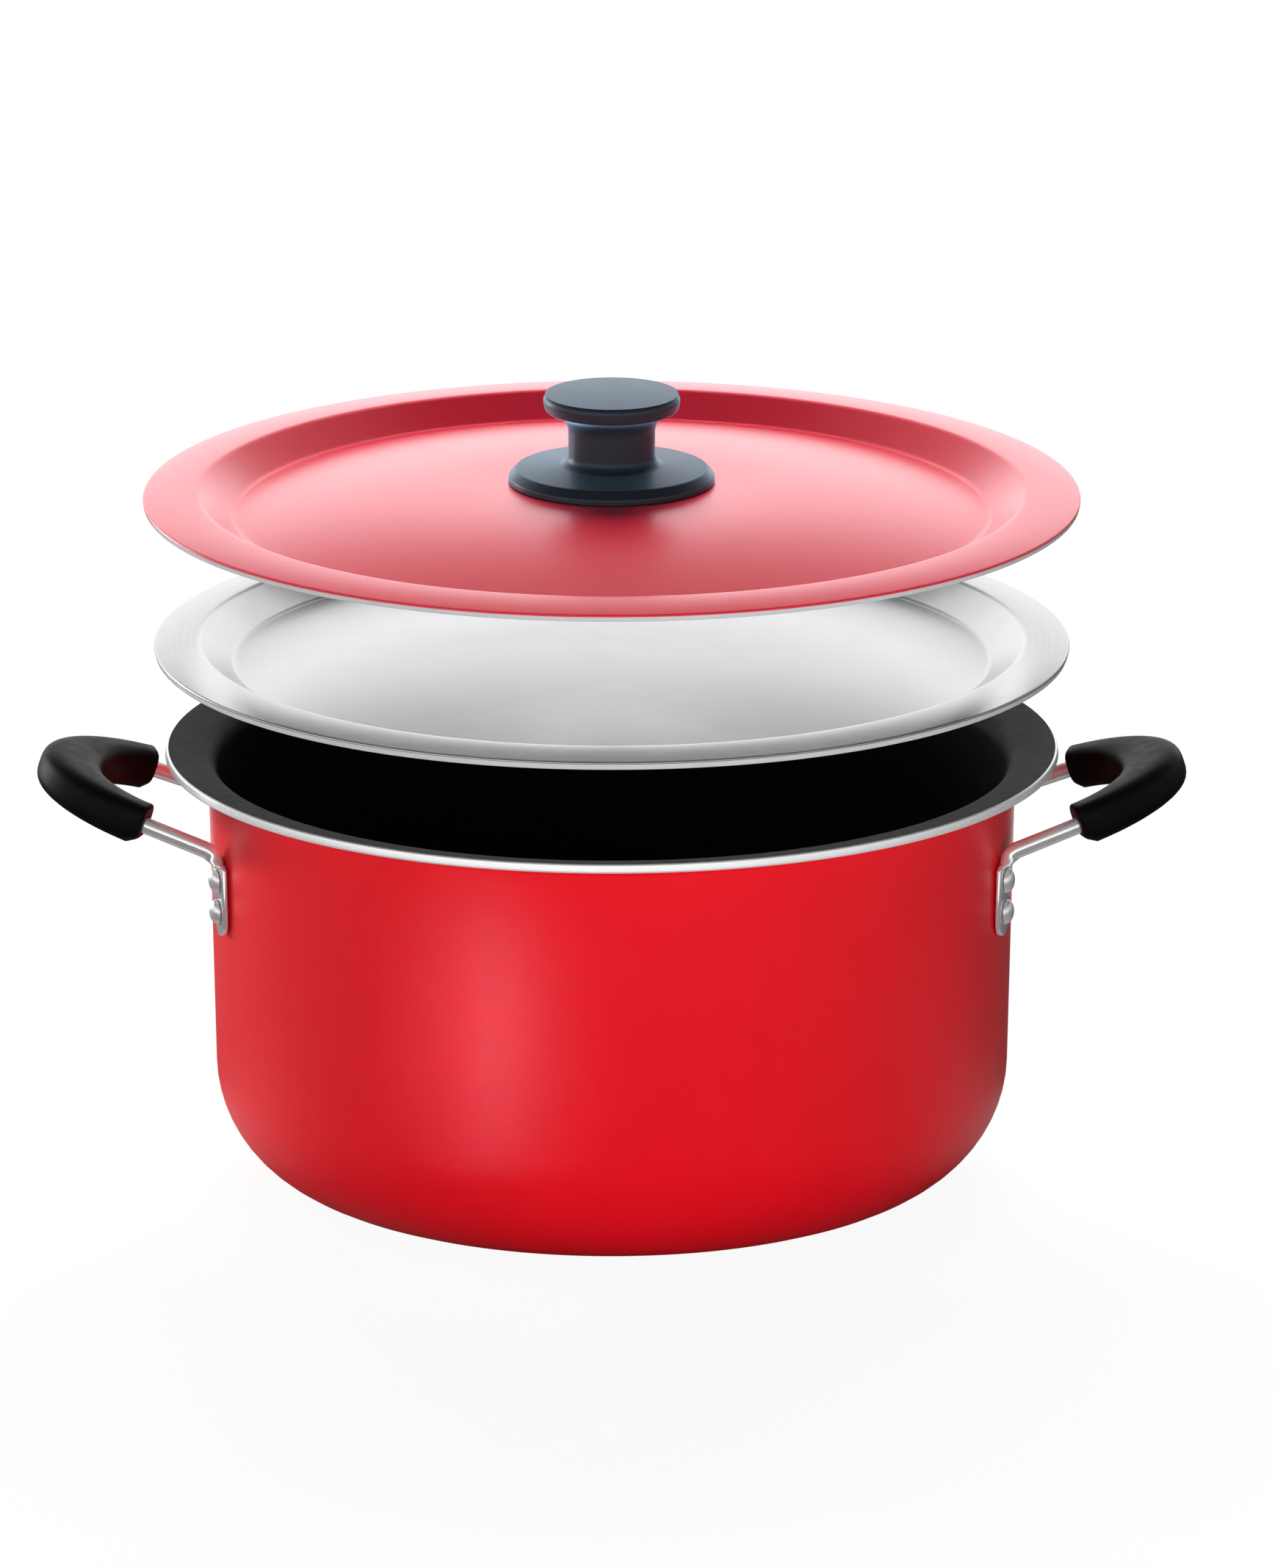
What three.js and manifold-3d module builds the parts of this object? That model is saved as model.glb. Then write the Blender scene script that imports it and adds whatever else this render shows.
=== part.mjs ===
// Biryani pot: a deep two-handled aluminium pot, a plain inner lid and a coated outer lid with a knob.
// Millimetres, +Z up, the handles along X, the origin at the middle of the base.
// Both lids are shown lifted clear of the pot, level, one above the other.
import * as THREE from 'three';
import { mergeVertices } from 'three/addons/utils/BufferGeometryUtils.js';
import Module from 'manifold-3d';

const wasm = await Module();
wasm.setup();

// Driving dimensions, in millimetres and degrees
const FIT = 0.3; // clearance between pieces that bear on each other

const POT_HEIGHT = 160; // floor to the top of the lip
const POT_WALL = 3.2;
const WALL_FOOT_R = 141.2; // outside of the wall, run down to the floor
const WALL_TOP_R = 144.6; // outside of the wall, run up to the lip
const CORNER_R = 45; // rounded corner between wall and base
const LIP_R = 160; // lower edge of the flared lip
const LIP_RISE = 9.5; // the lip climbs outwards at this angle
const LIP_BEND_R = 4; // bend under the lip
const EDGE_ROUND = 0.7; // broken edge of every sheet

const WIRE_D = 6;
const LEG_DROP = 29; // the wire leaves the wall this far below the lip
const LEG_HALF_SPREAD = 42; // from the handle's middle to a leg, at the wall
const LEG_BEND = 4; // length of wire on each side of the bend at the wall
const TAB_WIDTH = 13; // flattened end of the wire
const TAB_THICK = 2.5;
const TAB_SQUARENESS = 3.2; // of its section; 2 is a plain ellipse
const TAB_TAPER = 1.2; // length over which the round wire flattens out
const TAB_END = 8.8; // lower rivet to the tip of the tab
const RIVET_D = 4.5;
const RIVET_HEAD_D = 9;
const RIVET_HEAD_H = 2.7;
const RIVET_TAIL_H = 1.5; // low head inside the pot
const RIVET_TAIL_GAP = 0.6; // flat tail against the hollow of the wall
const RIVET_PITCH = 11.6;

const GRIP_START = 22; // from the wall to the ends of the grip's arms
const GRIP_LENGTH = 39.5; // arm ends to the outside of the bow
const GRIP_DROP = 19.6; // top of the lip to the wire at the arm ends
const GRIP_PITCH = 18.5; // the grip climbs outwards at this angle
const GRIP_HEIGHT = 15;
const GRIP_SQUARENESS = 3.2;
const ARM_HALF_SPREAD = 38.5; // from the handle's middle to the wire at the arm ends
const ARM_WIDTH = 13.6;
const ARM_CHAMFER = 4; // lower corner taken off the arm ends
const BOW_WIDTH = 22.5;
const BOW_CENTRE = 9.5; // centre of the horseshoe, back from the arm ends

const LID_OVERHANG = 7.3; // lid's edge beyond the lip
const LID_THICK = 2.6;
const LID_DOME = 12; // rise of the floor from its edge to the seat of the knob
const LID_LIFT = 54; // lid's edge above the inner lid's edge, as shown
const PLATE_OVERHANG = 3.7; // inner lid's edge beyond the lip
const PLATE_THICK = 3;
const PLATE_DOME = 6.5;
const PLATE_LIFT = 38; // inner lid's edge above the lip, as shown
const RIM_FALL = 1.9; // a lid's flat rim drops this far to its edge
const RECESS_DEPTH = 8.7; // from the rim's inner edge to the floor's edge
const RECESS_LEDGE = 6.1; // the rim's inner edge lies this far outside the pot's bore
const RECESS_STEP = 12.5; // width of the sloping wall of the recess
const RECESS_ROUND = 4; // rounding at both ends of that wall

const KNOB_HEIGHT = 32.5;
const KNOB_CAP_R = 24.8;
const KNOB_CAP_THICK = 5.6;
const KNOB_CAP_TAPER = 1; // the cap's side draws in towards its underside
const KNOB_CROWN = 0.8;
const KNOB_UNDERCUT = 3.5; // the cap's underside falls this far to the neck
const KNOB_NECK_R = 15.5;
const KNOB_NECK_FILLET = 4;
const KNOB_BASE_R = 36.8;
const KNOB_BASE_TOP_R = 34.2;
const KNOB_BASE_EDGE = 1.8; // upright part of the base's edge
const KNOB_BASE_THICK = 4.6;
const KNOB_BASE_RISE = 1.6; // the base's top climbs towards the neck
const KNOB_EDGE_ROUND = 1.4;
const KNOB_SEAT_MARGIN = 1.7; // flat seat on the lid, beyond the knob's base
const INSERT_D = 9; // threaded bush moulded into the knob
const INSERT_LENGTH = 14;
const INSERT_RECESS = 1; // bush set back from the knob's underside
const SCREW_D = 4;
const SCREW_BITE = 10; // length of thread inside the bush
const SCREW_HEAD_D = 8;
const SCREW_HEAD_H = 2.4;
const SCREW_SLOT_LENGTH = 5;
const SCREW_SLOT_W = 1.3;
const SCREW_SLOT_DEPTH = 1.2;
const WASHER_D = 16;
const WASHER_THICK = 1;

// Fineness of the curved surfaces
const TURN_STEPS = 48; // round the pot and the lids
const KNOB_STEPS = 32;
const SMALL_STEPS = 12; // round rivets, screws and their holes
const COLLAR_STEPS = 24; // round the washer and the bush
const HEAD_STEPS = 3; // from the edge of a rivet's head to its top
const CURVE_TOLERANCE = 0.15; // a rounded corner strays this far from a true arc
const DOME_STEPS = 5;
const WIRE_SIDES = 8;
const GRIP_SIDES = 16;
const BEND_STEPS = 4;
const TIP_STEPS = 4; // round a quarter of the tab's tip
const TIP_START = 15; // degrees left off at the very tip
const BOW_STEPS = 8; // from an arm's end to the middle of the bow
const WELD = 1e-4; // corners closer than this are one

const redCoat = new THREE.MeshStandardMaterial({ color: 0xd91f26, roughness: 0.3, metalness: 0.1 });
const aluminium = new THREE.MeshStandardMaterial({ color: 0xd6d7d9, roughness: 0.35, metalness: 1 });
const chrome = new THREE.MeshStandardMaterial({ color: 0xcfd1d4, roughness: 0.12, metalness: 1 });
const blackGrip = new THREE.MeshStandardMaterial({ color: 0x0b0b0c, roughness: 0.25, metalness: 0 });
const slateKnob = new THREE.MeshStandardMaterial({ color: 0x2a3138, roughness: 0.4, metalness: 0 });
const brass = new THREE.MeshStandardMaterial({ color: 0xc29a4a, roughness: 0.35, metalness: 1 });
const steel = new THREE.MeshStandardMaterial({ color: 0xb8babd, roughness: 0.3, metalness: 1 });

const degrees = THREE.MathUtils.degToRad;
const vec2 = (r, z) => new THREE.Vector2(r, z);
const vec3 = (x, y, z) => new THREE.Vector3(x, y, z);

// Profiles are lists of points: radius, then height

// The arc of a given radius that rounds off a corner between two neighbours
function roundCorner(before, corner, after, radius) {
  const back = before.clone().sub(corner).normalize();
  const ahead = after.clone().sub(corner).normalize();
  const half = Math.acos(back.dot(ahead)) / 2;
  const centre = back.clone().add(ahead).setLength(radius / Math.sin(half)).add(corner);
  const start = back.setLength(radius / Math.tan(half)).add(corner).sub(centre);
  const end = ahead.setLength(radius / Math.tan(half)).add(corner).sub(centre);
  const sweep = Math.atan2(start.cross(end), start.dot(end));
  const step = 2 * Math.acos(1 - CURVE_TOLERANCE / radius);
  const steps = Math.max(2, Math.ceil(Math.abs(sweep) / step));
  const origin = vec2(0, 0);
  return Array.from({ length: steps + 1 }, (_, i) =>
    start.clone().rotateAround(origin, (sweep * i) / steps).add(centre));
}

// A path through corners, each given as radius, height and, where it is rounded, a rounding
function roundedPath(corners) {
  const points = corners.map(([r, z]) => vec2(r, z));
  return corners.flatMap(([, , rounding], i) =>
    (rounding ? roundCorner(points[i - 1], points[i], points[i + 1], rounding) : [points[i]]));
}

// A path beside another, to its left. The first point keeps its radius.
function offsetPath(path, distance) {
  const last = path.length - 1;
  const moved = path.map((point, i) => {
    const arriving = point.clone().sub(path[Math.max(i - 1, 0)]).normalize();
    const leaving = path[Math.min(i + 1, last)].clone().sub(point).normalize();
    const along = arriving.clone().add(leaving).normalize();
    const stretch = 1 / along.dot(i === 0 ? leaving : arriving);
    return vec2(-along.y, along.x).multiplyScalar(distance * stretch).add(point);
  });
  moved[0].x = path[0].x;
  return moved;
}

// The outline of a sheet between two faces that run from its middle to its edge
function sheetOutline(lower, upper) {
  const toward = (from, to) => from.clone().lerp(to, EDGE_ROUND / from.distanceTo(to));
  const [lowEnd, highEnd] = [lower.at(-1), upper.at(-1)];
  const edge = [toward(lowEnd, lower.at(-2)), toward(lowEnd, highEnd),
    toward(highEnd, lowEnd), toward(highEnd, upper.at(-2))];
  return [...lower.slice(0, -1), ...edge, ...upper.slice(0, -1).reverse()];
}

// A turned body standing along +Z
function turned(outline, steps) {
  return new THREE.LatheGeometry(outline, steps).rotateX(Math.PI / 2);
}

// A turned body whose outline goes right round, clear of the axis
function turnedRing(outline, steps) {
  return turned([...outline, outline[0].clone()], steps);
}

// A closed skin through rings of equally many points, capped at both ends
function loft(rings) {
  const sides = rings[0].length;
  const points = rings.flat();
  const faces = [];
  const next = (side) => (side + 1) % sides;
  for (let start = 0; start < points.length - sides; start += sides) {
    for (let side = 0; side < sides; side += 1) {
      const [a, b] = [start + side, start + next(side)];
      faces.push(a, b, b + sides, a, b + sides, a + sides);
    }
  }
  const lastStart = points.length - sides;
  for (const start of [0, lastStart]) {
    const capRing = points.slice(start, start + sides);
    const middle = points.length;
    points.push(capRing.reduce((sum, p) => sum.add(p), vec3(0, 0, 0)).divideScalar(sides));
    for (let side = 0; side < sides; side += 1) {
      const [a, b] = [start + side, start + next(side)];
      faces.push(middle, start === 0 ? b : a, start === 0 ? a : b);
    }
  }
  const geometry = new THREE.BufferGeometry().setFromPoints(points);
  geometry.setIndex(faces);
  return geometry;
}

// One ring in the plane of two axes: an ellipse, squarer as its squareness passes 2
function ring(centre, across, up, halfWidth, halfHeight, sides, squareness = 2) {
  const bulge = (value) => Math.sign(value) * Math.abs(value) ** (2 / squareness);
  return Array.from({ length: sides }, (_, i) => {
    const angle = ((i + 0.5) * 2 * Math.PI) / sides;
    return centre.clone()
      .addScaledVector(across, halfWidth * bulge(Math.cos(angle)))
      .addScaledVector(up, halfHeight * bulge(Math.sin(angle)));
  });
}

// The rings of half a handle, then their mirror images across the XZ plane
function bothHalves(rings) {
  const flip = (points) => points.map((p) => vec3(p.x, -p.y, p.z));
  return [...rings, ...rings.slice(0, -1).reverse().map(flip)];
}

function toSolid(geometry) {
  const bare = geometry.clone();
  bare.deleteAttribute('normal');
  bare.deleteAttribute('uv');
  const merged = mergeVertices(bare, WELD);
  const corners = Array.from(merged.index.array);
  const triangles = [];
  for (let i = 0; i < corners.length; i += 3) {
    const triangle = corners.slice(i, i + 3);
    if (new Set(triangle).size === 3) triangles.push(...triangle);
  }
  return new wasm.Manifold(new wasm.Mesh({
    numProp: 3,
    vertProperties: new Float32Array(merged.attributes.position.array),
    triVerts: new Uint32Array(triangles),
  }));
}

// A body with other bodies cut out of it
function cut(geometry, tools) {
  const solid = tools.reduce((left, tool) => left.subtract(toSolid(tool)), toSolid(geometry));
  const { vertProperties, triVerts } = solid.getMesh();
  const result = new THREE.BufferGeometry();
  result.setAttribute('position', new THREE.BufferAttribute(vertProperties, 3));
  result.setIndex(new THREE.BufferAttribute(triVerts, 1));
  return result;
}

function part(name, geometry, material) {
  const mesh = new THREE.Mesh(geometry, material);
  mesh.name = name;
  return mesh;
}

// Shell of the pot: flat base, rounded corner, slightly flaring wall and a lip
const lipEdgeZ = POT_HEIGHT - POT_WALL * Math.cos(degrees(LIP_RISE));
const lipCornerZ = lipEdgeZ - (LIP_R - WALL_TOP_R) * Math.tan(degrees(LIP_RISE));
const wallLean = Math.atan((WALL_TOP_R - WALL_FOOT_R) / lipCornerZ);
const wallRadius = (z) => WALL_FOOT_R + z * Math.tan(wallLean);

function potShell() {
  const outside = roundedPath([
    [0, 0],
    [WALL_FOOT_R, 0, CORNER_R],
    [WALL_TOP_R, lipCornerZ, LIP_BEND_R],
    [LIP_R, lipEdgeZ],
  ]);
  return turned(sheetOutline(outside, offsetPath(outside, POT_WALL)), TURN_STEPS);
}

// Where a leg of the right-hand handle meets the wall
const legZ = POT_HEIGHT - LEG_DROP;
const legAngle = Math.asin(LEG_HALF_SPREAD / (wallRadius(legZ) + FIT + WIRE_D / 2));
const legOut = vec3(Math.cos(legAngle), Math.sin(legAngle), 0);
const wallAlong = vec3(-legOut.y, legOut.x, 0);
const wallNormal = legOut.clone().multiplyScalar(Math.cos(wallLean)).setZ(-Math.sin(wallLean));
const wallUp = wallNormal.clone().cross(wallAlong);

// A point at a leg, by its height along the wall and its distance out from it
function atLeg(height, out) {
  return legOut.clone().multiplyScalar(wallRadius(legZ)).setZ(legZ)
    .addScaledVector(wallUp, height).addScaledVector(wallNormal, out);
}

// The wire's line inside the grip: part of an ellipse in the grip's sloping plane
const armEndX = wallRadius(legZ) + GRIP_START;
const gripSlope = Math.tan(degrees(GRIP_PITCH));
const gripUp = vec3(-Math.sin(degrees(GRIP_PITCH)), 0, Math.cos(degrees(GRIP_PITCH)));
const bowReach = BOW_CENTRE + GRIP_LENGTH - BOW_WIDTH / 2;
const bowEndAngle = Math.acos(BOW_CENTRE / bowReach);
const bowSpread = ARM_HALF_SPREAD / Math.sin(bowEndAngle);
const bowAngles = Array.from({ length: BOW_STEPS + 1 }, (_, i) => bowEndAngle * (1 - i / BOW_STEPS));

function bowPoint(angle) {
  const x = armEndX - BOW_CENTRE + bowReach * Math.cos(angle);
  return vec3(x, bowSpread * Math.sin(angle), POT_HEIGHT - GRIP_DROP + (x - armEndX) * gripSlope);
}

function bowDirection(angle) {
  const outward = bowReach * Math.sin(angle);
  return vec3(outward, -bowSpread * Math.cos(angle), outward * gripSlope).normalize();
}

// Heights on the wall, from the corner of the wire's bend: the flat tab's top, the rivets and its tip
const tabTop = -LEG_BEND - TAB_TAPER;
const upperRivet = tabTop - FIT - RIVET_HEAD_D / 2;
const rivetHeights = [upperRivet, upperRivet - RIVET_PITCH];
const tabTip = rivetHeights[1] - TAB_END;

// Half of a wire, from the tip of its flattened end to the middle of the bow.
// The extra radius makes room round it, for the bore of the grip.
function wireRings(extra) {
  const radius = WIRE_D / 2 + extra;
  const tabHalf = TAB_WIDTH / 2;
  const tabRing = (height, halfWidth) => ring(atLeg(height, FIT + TAB_THICK / 2),
    wallNormal, wallAlong, TAB_THICK / 2, halfWidth, WIRE_SIDES, TAB_SQUARENESS);
  const roundRing = (centre, direction) => {
    const level = vec3(-direction.y, direction.x, 0).normalize();
    return ring(centre, level.clone().cross(direction), level, radius, radius, WIRE_SIDES);
  };
  const tip = Array.from({ length: TIP_STEPS }, (_, i) => {
    const turn = degrees(THREE.MathUtils.lerp(TIP_START, 90, i / (TIP_STEPS - 1)));
    return tabRing(tabTip + tabHalf * (1 - Math.cos(turn)), tabHalf * Math.sin(turn));
  });
  const corner = atLeg(0, FIT + WIRE_D / 2);
  const leg = bowPoint(bowEndAngle).sub(corner).setLength(LEG_BEND);
  const bend = new THREE.QuadraticBezierCurve3(
    atLeg(-LEG_BEND, FIT + WIRE_D / 2), corner, corner.clone().add(leg));
  const bendRings = Array.from({ length: BEND_STEPS + 1 }, (_, i) =>
    roundRing(bend.getPoint(i / BEND_STEPS), bend.getTangent(i / BEND_STEPS)));
  const top = tabRing(tabTop, tabHalf);
  const bow = bowAngles.map((angle) => roundRing(bowPoint(angle), bowDirection(angle)));
  return [...tip, top, ...bendRings, ...bow];
}

// Half of a grip, from the end of an arm to the middle of the bow
function gripRings() {
  const section = (angle, back, lowered) => {
    const direction = bowDirection(angle);
    const width = THREE.MathUtils.lerp(ARM_WIDTH, BOW_WIDTH, Math.cos(angle) ** 2);
    const centre = bowPoint(angle).addScaledVector(direction, back).addScaledVector(gripUp, lowered / 2);
    return ring(centre, gripUp.clone().cross(direction).normalize(), gripUp,
      width / 2, (GRIP_HEIGHT - lowered) / 2, GRIP_SIDES, GRIP_SQUARENESS);
  };
  const armEnd = [section(bowEndAngle, 0, ARM_CHAMFER), section(bowEndAngle, ARM_CHAMFER, 0)];
  return [...armEnd, ...bowAngles.slice(1).map((angle) => section(angle, 0, 0))];
}

// Rivets run square to the wall, through the tab and the shell
const headSeat = FIT + TAB_THICK + FIT;

// Lays a body that was made along +Z on the wall at a leg; side is 1 for the back leg, -1 for the front
function ontoWall(geometry, height, side) {
  const mirror = vec3(1, side, 1);
  const normal = wallNormal.clone().multiply(mirror);
  const seat = atLeg(height, 0).multiply(mirror);
  const turn = new THREE.Quaternion().setFromUnitVectors(vec3(0, 0, 1), normal);
  return geometry.applyQuaternion(turn).translate(seat.x, seat.y, seat.z);
}

function rivetHole(height, side) {
  const reach = POT_WALL + headSeat + RIVET_HEAD_D;
  const hole = new THREE.CylinderGeometry(RIVET_D / 2 + FIT, RIVET_D / 2 + FIT, 2 * reach, SMALL_STEPS);
  return ontoWall(hole.rotateX(Math.PI / 2), height, side);
}

function rivet(height, side) {
  const headR = RIVET_HEAD_D / 2;
  const tailSeat = -POT_WALL - RIVET_TAIL_GAP;
  const dome = Array.from({ length: HEAD_STEPS }, (_, i) => {
    const angle = degrees((90 * i) / HEAD_STEPS);
    return vec2(headR * Math.cos(angle), headSeat + RIVET_HEAD_H * Math.sin(angle));
  });
  const outline = [
    vec2(0, tailSeat - RIVET_TAIL_H),
    vec2(headR - RIVET_TAIL_H, tailSeat - RIVET_TAIL_H),
    vec2(headR, tailSeat),
    vec2(RIVET_D / 2, tailSeat),
    vec2(RIVET_D / 2, headSeat),
    ...dome,
    vec2(0, headSeat + RIVET_HEAD_H),
  ];
  return ontoWall(turned(outline, SMALL_STEPS), height, side);
}

// Every rivet of a handle, by the leg and the place on it
const rivetPlaces = [['back', 1], ['front', -1]].flatMap(([leg, side]) =>
  rivetHeights.map((height, i) => ({ name: `${leg}_${['upper', 'lower'][i]}`, height, side })));
const rivetHoles = rivetPlaces.map(({ height, side }) => rivetHole(height, side));

const pot = new THREE.Group();
const leftHoles = rivetHoles.map((hole) => hole.clone().rotateZ(Math.PI));
pot.add(part('pot_body', cut(potShell(), [...rivetHoles, ...leftHoles]), redCoat));

for (const [side, turn] of [['right', 0], ['left', Math.PI]]) {
  const handle = new THREE.Group();
  handle.rotation.z = turn;
  const wire = cut(loft(bothHalves(wireRings(0))), rivetHoles);
  const grip = cut(loft(bothHalves(gripRings())), [loft(bothHalves(wireRings(FIT)))]);
  handle.add(part(`handle_wire_${side}`, wire, chrome));
  handle.add(part(`handle_grip_${side}`, grip, blackGrip));
  rivetPlaces.forEach(({ name, height, side: leg }) =>
    handle.add(part(`rivet_${side}_${name}`, rivet(height, leg), aluminium)));
  pot.add(handle);
}

// Lids: a flat rim, a recess that drops into the pot's mouth and a domed floor.
// Heights are measured from the top of the outer edge.
const recessTopR = WALL_TOP_R - POT_WALL + RECESS_LEDGE;
const recessFloorR = recessTopR - RECESS_STEP;
const recessFloorZ = RIM_FALL - RECESS_DEPTH;

// The upper face of a lid, from a start radius out to its edge; the middle is flat out to the seat
function lidFace(startR, seatR, dome, edgeR) {
  const domePoints = Array.from({ length: DOME_STEPS }, (_, i) => {
    const share = i / DOME_STEPS;
    return [seatR + (recessFloorR - seatR) * share, recessFloorZ + dome * (1 - share ** 2)];
  });
  const middle = startR < seatR ? [[startR, recessFloorZ + dome]] : [];
  return roundedPath([
    ...middle,
    ...domePoints,
    [recessFloorR, recessFloorZ, RECESS_ROUND],
    [recessTopR, RIM_FALL, RECESS_ROUND],
    [edgeR, 0],
  ]);
}

const innerLid = new THREE.Group();
innerLid.position.z = POT_HEIGHT + PLATE_LIFT;
const plateFace = lidFace(0, 0, PLATE_DOME, LIP_R + PLATE_OVERHANG);
const plateOutline = sheetOutline(offsetPath(plateFace, -PLATE_THICK), plateFace);
innerLid.add(part('inner_lid', turned(plateOutline, TURN_STEPS), aluminium));

const lid = new THREE.Group();
lid.position.z = innerLid.position.z + LID_LIFT;
const screwHoleR = SCREW_D / 2 + FIT;
const lidFaceUp = lidFace(screwHoleR, KNOB_BASE_R + KNOB_SEAT_MARGIN, LID_DOME, LIP_R + LID_OVERHANG);
const lidOutline = sheetOutline(offsetPath(lidFaceUp, -LID_THICK), lidFaceUp);
lid.add(part('outer_lid', turnedRing(lidOutline, TURN_STEPS), redCoat));

// Knob and its fixings, measured from the knob's underside
const fixings = new THREE.Group();
fixings.position.z = recessFloorZ + LID_DOME + FIT;
const insertTop = INSERT_RECESS + INSERT_LENGTH;

function knobBody() {
  const boreR = INSERT_D / 2 + FIT;
  const boreTop = insertTop + FIT;
  const capTop = KNOB_HEIGHT - KNOB_CROWN;
  const capBottom = capTop - KNOB_CAP_THICK;
  return turned(roundedPath([
    [0, boreTop],
    [boreR, boreTop],
    [boreR, 0],
    [KNOB_BASE_R, 0],
    [KNOB_BASE_R, KNOB_BASE_EDGE, KNOB_EDGE_ROUND],
    [KNOB_BASE_TOP_R, KNOB_BASE_THICK, KNOB_EDGE_ROUND],
    [KNOB_NECK_R, KNOB_BASE_THICK + KNOB_BASE_RISE, KNOB_NECK_FILLET],
    [KNOB_NECK_R, capBottom - KNOB_UNDERCUT, KNOB_NECK_FILLET],
    [KNOB_CAP_R - KNOB_CAP_TAPER, capBottom, KNOB_EDGE_ROUND],
    [KNOB_CAP_R, capTop, KNOB_EDGE_ROUND],
    [0, KNOB_HEIGHT],
  ]), KNOB_STEPS);
}

// A plain ring by its radii and its lower and upper faces
function collar(innerR, outerR, low, high) {
  const outline = [vec2(innerR, low), vec2(outerR, low), vec2(outerR, high), vec2(innerR, high)];
  return turnedRing(outline, COLLAR_STEPS);
}

function screw(headTop) {
  const head = headTop - SCREW_HEAD_H;
  const shankTop = INSERT_RECESS + SCREW_BITE;
  const body = turned(roundedPath([
    [0, head],
    [SCREW_HEAD_D / 2, head, SCREW_SLOT_DEPTH],
    [SCREW_HEAD_D / 2, headTop],
    [SCREW_D / 2, headTop],
    [SCREW_D / 2, shankTop],
    [0, shankTop],
  ]), SMALL_STEPS);
  const slots = [0, Math.PI / 2].map((turn) => {
    const slot = new THREE.BoxGeometry(SCREW_SLOT_LENGTH, SCREW_SLOT_W, 2 * SCREW_SLOT_DEPTH);
    return slot.rotateZ(turn).translate(0, 0, head);
  });
  return cut(body, slots);
}

const washerTop = -FIT - LID_THICK - FIT;
const washerBottom = washerTop - WASHER_THICK;
fixings.add(part('knob', knobBody(), slateKnob));
fixings.add(part('knob_insert', collar(screwHoleR, INSERT_D / 2, INSERT_RECESS, insertTop), brass));
fixings.add(part('knob_washer', collar(screwHoleR, WASHER_D / 2, washerBottom, washerTop), steel));
fixings.add(part('knob_screw', screw(washerBottom - FIT), steel));
lid.add(fixings);

const biryaniPot = new THREE.Group();
biryaniPot.add(pot, innerLid, lid);
export default biryaniPot;
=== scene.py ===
"""Biryani pot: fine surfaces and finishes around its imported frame.

The frame is in metres, +Z up, with the handles along X.
Lengths below are in millimetres and angles in degrees.
"""

import math

import bpy
from mathutils import Matrix, Vector


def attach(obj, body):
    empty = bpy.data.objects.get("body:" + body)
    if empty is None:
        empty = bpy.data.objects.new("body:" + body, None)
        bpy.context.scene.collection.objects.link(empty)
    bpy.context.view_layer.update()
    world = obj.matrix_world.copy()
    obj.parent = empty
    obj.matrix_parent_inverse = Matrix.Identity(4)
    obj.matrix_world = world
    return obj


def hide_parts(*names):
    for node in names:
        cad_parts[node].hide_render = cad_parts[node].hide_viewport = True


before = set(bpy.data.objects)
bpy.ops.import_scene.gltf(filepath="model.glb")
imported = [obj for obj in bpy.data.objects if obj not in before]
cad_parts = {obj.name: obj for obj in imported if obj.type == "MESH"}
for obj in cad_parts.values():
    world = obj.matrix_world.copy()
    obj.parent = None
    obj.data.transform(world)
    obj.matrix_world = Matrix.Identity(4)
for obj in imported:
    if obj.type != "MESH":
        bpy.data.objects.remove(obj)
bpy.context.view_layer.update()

MM = 0.001

# Pot
POT_HEIGHT = 160
POT_WALL = 3.2
WALL_FOOT_R = 141.2
WALL_TOP_R = 144.6
CORNER_R = 45
LIP_R = 160
LIP_RISE = 9.5
LIP_BEND_R = 4
EDGE_ROUND = 0.7

# Handles
FIT = 0.3
WIRE_D = 6
LEG_DROP = 29
LEG_HALF_SPREAD = 42
LEG_BEND = 4
TAB_WIDTH = 13
TAB_THICK = 2.5
TAB_SQUARENESS = 3.2
TAB_TAPER = 1.2
TAB_EASE = 0.45
TAB_END = 8.8
RIVET_D = 4.5
RIVET_HEAD_D = 9
RIVET_HEAD_H = 2.7
RIVET_TAIL_H = 1.5
RIVET_TAIL_GAP = 0.6
RIVET_PITCH = 11.6
GRIP_START = 22
GRIP_LENGTH = 39.5
GRIP_DROP = 19.6
GRIP_PITCH = 18.5
GRIP_HEIGHT = 15
GRIP_SQUARENESS = 3.2
GRIP_EDGE_ROUND = 1.3
ARM_HALF_SPREAD = 38.5
ARM_WIDTH = 13.6
ARM_CHAMFER = 4
ARM_CHAMFER_RISE = 2.8
WIRE_HOLE_DEPTH = 3
BOW_WIDTH = 22.5
BOW_CENTRE = 9.5

# Lids
LID_OVERHANG = 7.3
LID_THICK = 2.6
LID_DOME = 12
LID_LIFT = 54
PLATE_OVERHANG = 3.7
PLATE_THICK = 3
PLATE_DOME = 6.5
PLATE_LIFT = 38
RIM_FALL = 1.9
RECESS_DEPTH = 8.7
RECESS_LEDGE = 6.1
RECESS_STEP = 12.5
RECESS_ROUND = 4

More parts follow.
